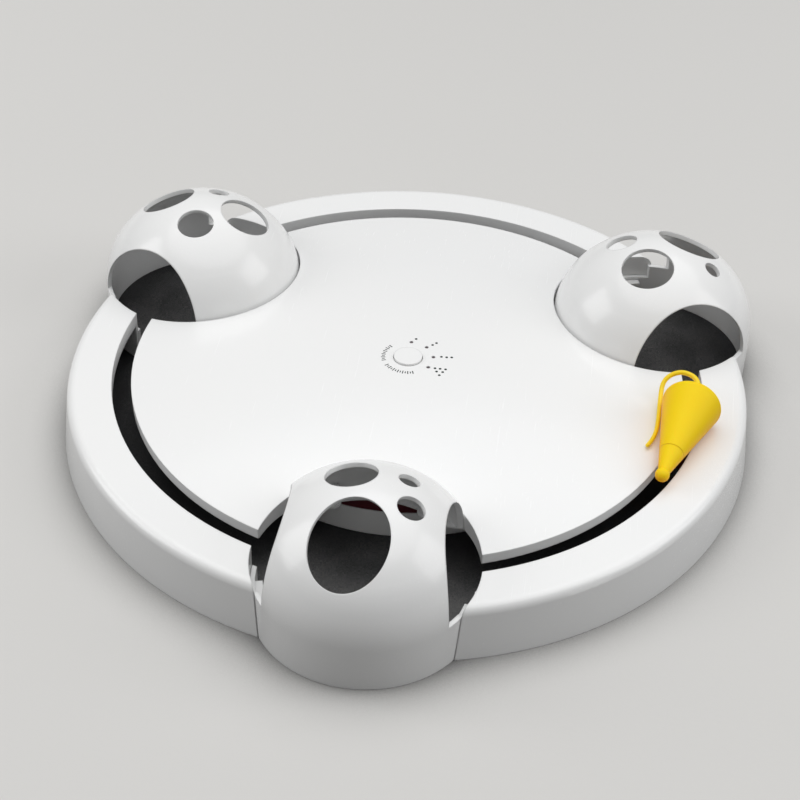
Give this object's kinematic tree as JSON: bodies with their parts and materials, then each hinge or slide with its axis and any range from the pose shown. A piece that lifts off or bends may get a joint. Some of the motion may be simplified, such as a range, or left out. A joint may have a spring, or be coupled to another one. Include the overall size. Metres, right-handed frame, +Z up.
{
  "type": "mouse turntable cat toy",
  "caption": "Round white floor toy: a toy mouse on a hidden motor-driven rotor runs round a slot and through domed tunnels with paw holes.",
  "frame": {"origin": "on the floor, on the turntable's axis, at the middle of the tub's underside", "axes": "+Z up along the turntable's axis, -Y towards the front dome, +X to the right of it"},
  "size_m": [0.38, 0.4, 0.0764],
  "materials": {
    "white_shell": "glossy moulded plastic",
    "rotor_plastic": "satin moulded plastic",
    "mouse_plastic": "satin moulded plastic",
    "tail_rubber": "soft matte rubber",
    "pad_rubber": "matte rubber",
    "screw_steel": "zinc plated",
    "motor_steel": "plated can",
    "bracket_steel": "pressed sheet",
    "gear_plastic": "natural nylon",
    "board": "solder mask",
    "switch_black": "moulded plastic",
    "lamp_red": "clear tinted resin",
    "cell_wrap": "printed wrap"
  },
  "bodies": {
    "base": {"deck": "white_shell", "ring_segment_1": "white_shell", "ring_segment_2": "white_shell", "ring_segment_3": "white_shell", "dome_front": "white_shell", "dome_right": "white_shell", "dome_left": "white_shell", "hub_tub": "white_shell", "circuit_board": "board", "tact_switch": "switch_black", "led_1": "lamp_red", "led_2": "lamp_red", "led_3": "lamp_red", "led_4": "lamp_red", "motor": "motor_steel", "motor_bracket": "bracket_steel", "bracket_screw_1": "screw_steel", "bracket_screw_2": "screw_steel", "idler_axle": "screw_steel", "battery_1": "cell_wrap", "battery_2": "cell_wrap", "battery_3": "cell_wrap", "contact_left": "screw_steel", "contact_right": "screw_steel", "foot_1": "pad_rubber", "foot_2": "pad_rubber", "foot_3": "pad_rubber", "foot_4": "pad_rubber", "hub_screw_1": "screw_steel", "hub_screw_2": "screw_steel", "hub_screw_3": "screw_steel", "hub_screw_4": "screw_steel", "dome_screw_1": "screw_steel", "dome_screw_2": "screw_steel", "dome_screw_3": "screw_steel", "dome_screw_4": "screw_steel", "dome_screw_5": "screw_steel", "dome_screw_6": "screw_steel", "board_screw_1": "screw_steel", "board_screw_2": "screw_steel", "board_screw_3": "screw_steel", "board_screw_4": "screw_steel"},
    "rotor": {"rotor_ring": "rotor_plastic", "rotor_arm": "rotor_plastic", "arm_screw_1": "screw_steel", "arm_screw_2": "screw_steel", "mouse_post": "rotor_plastic", "mouse_sole": "mouse_plastic", "mouse_body": "mouse_plastic", "mouse_snout": "mouse_plastic", "mouse_tail": "tail_rubber"},
    "idler": {"idler_gear": "gear_plastic"},
    "drive": {"motor_pinion": "gear_plastic"},
    "button": {"power_button": "white_shell"},
    "door": {"battery_door": "white_shell"}
  },
  "joints": [
    {"name": "rotor_spin", "type": "hinge", "parent": "base", "child": "rotor", "pos_m": [0, 0, 0], "axis": [0, 0, 1], "continuous": true},
    {"name": "idler_spin", "type": "hinge", "parent": "base", "child": "idler", "pos_m": [0, 0.068, 0], "axis": [0, 0, 1], "continuous": true},
    {"name": "drive_spin", "type": "hinge", "parent": "base", "child": "drive", "pos_m": [0, 0.041, 0], "axis": [0, 0, 1], "continuous": true},
    {"name": "button_press", "type": "slide", "parent": "base", "child": "button", "axis": [0, 0, -1], "range_m": [0, 0.0008], "stiffness_N_per_m": 2000},
    {"name": "door_swing", "type": "hinge", "parent": "base", "child": "door", "pos_m": [0, -0.06489, 0.0012], "axis": [-1, 0, 0], "range_deg": [0, 90]}
  ],
  "couplings": [
    {"joint": "idler_spin", "follows": "rotor_spin", "ratio": 6.6667},
    {"joint": "drive_spin", "follows": "rotor_spin", "ratio": -29.333}
  ]
}
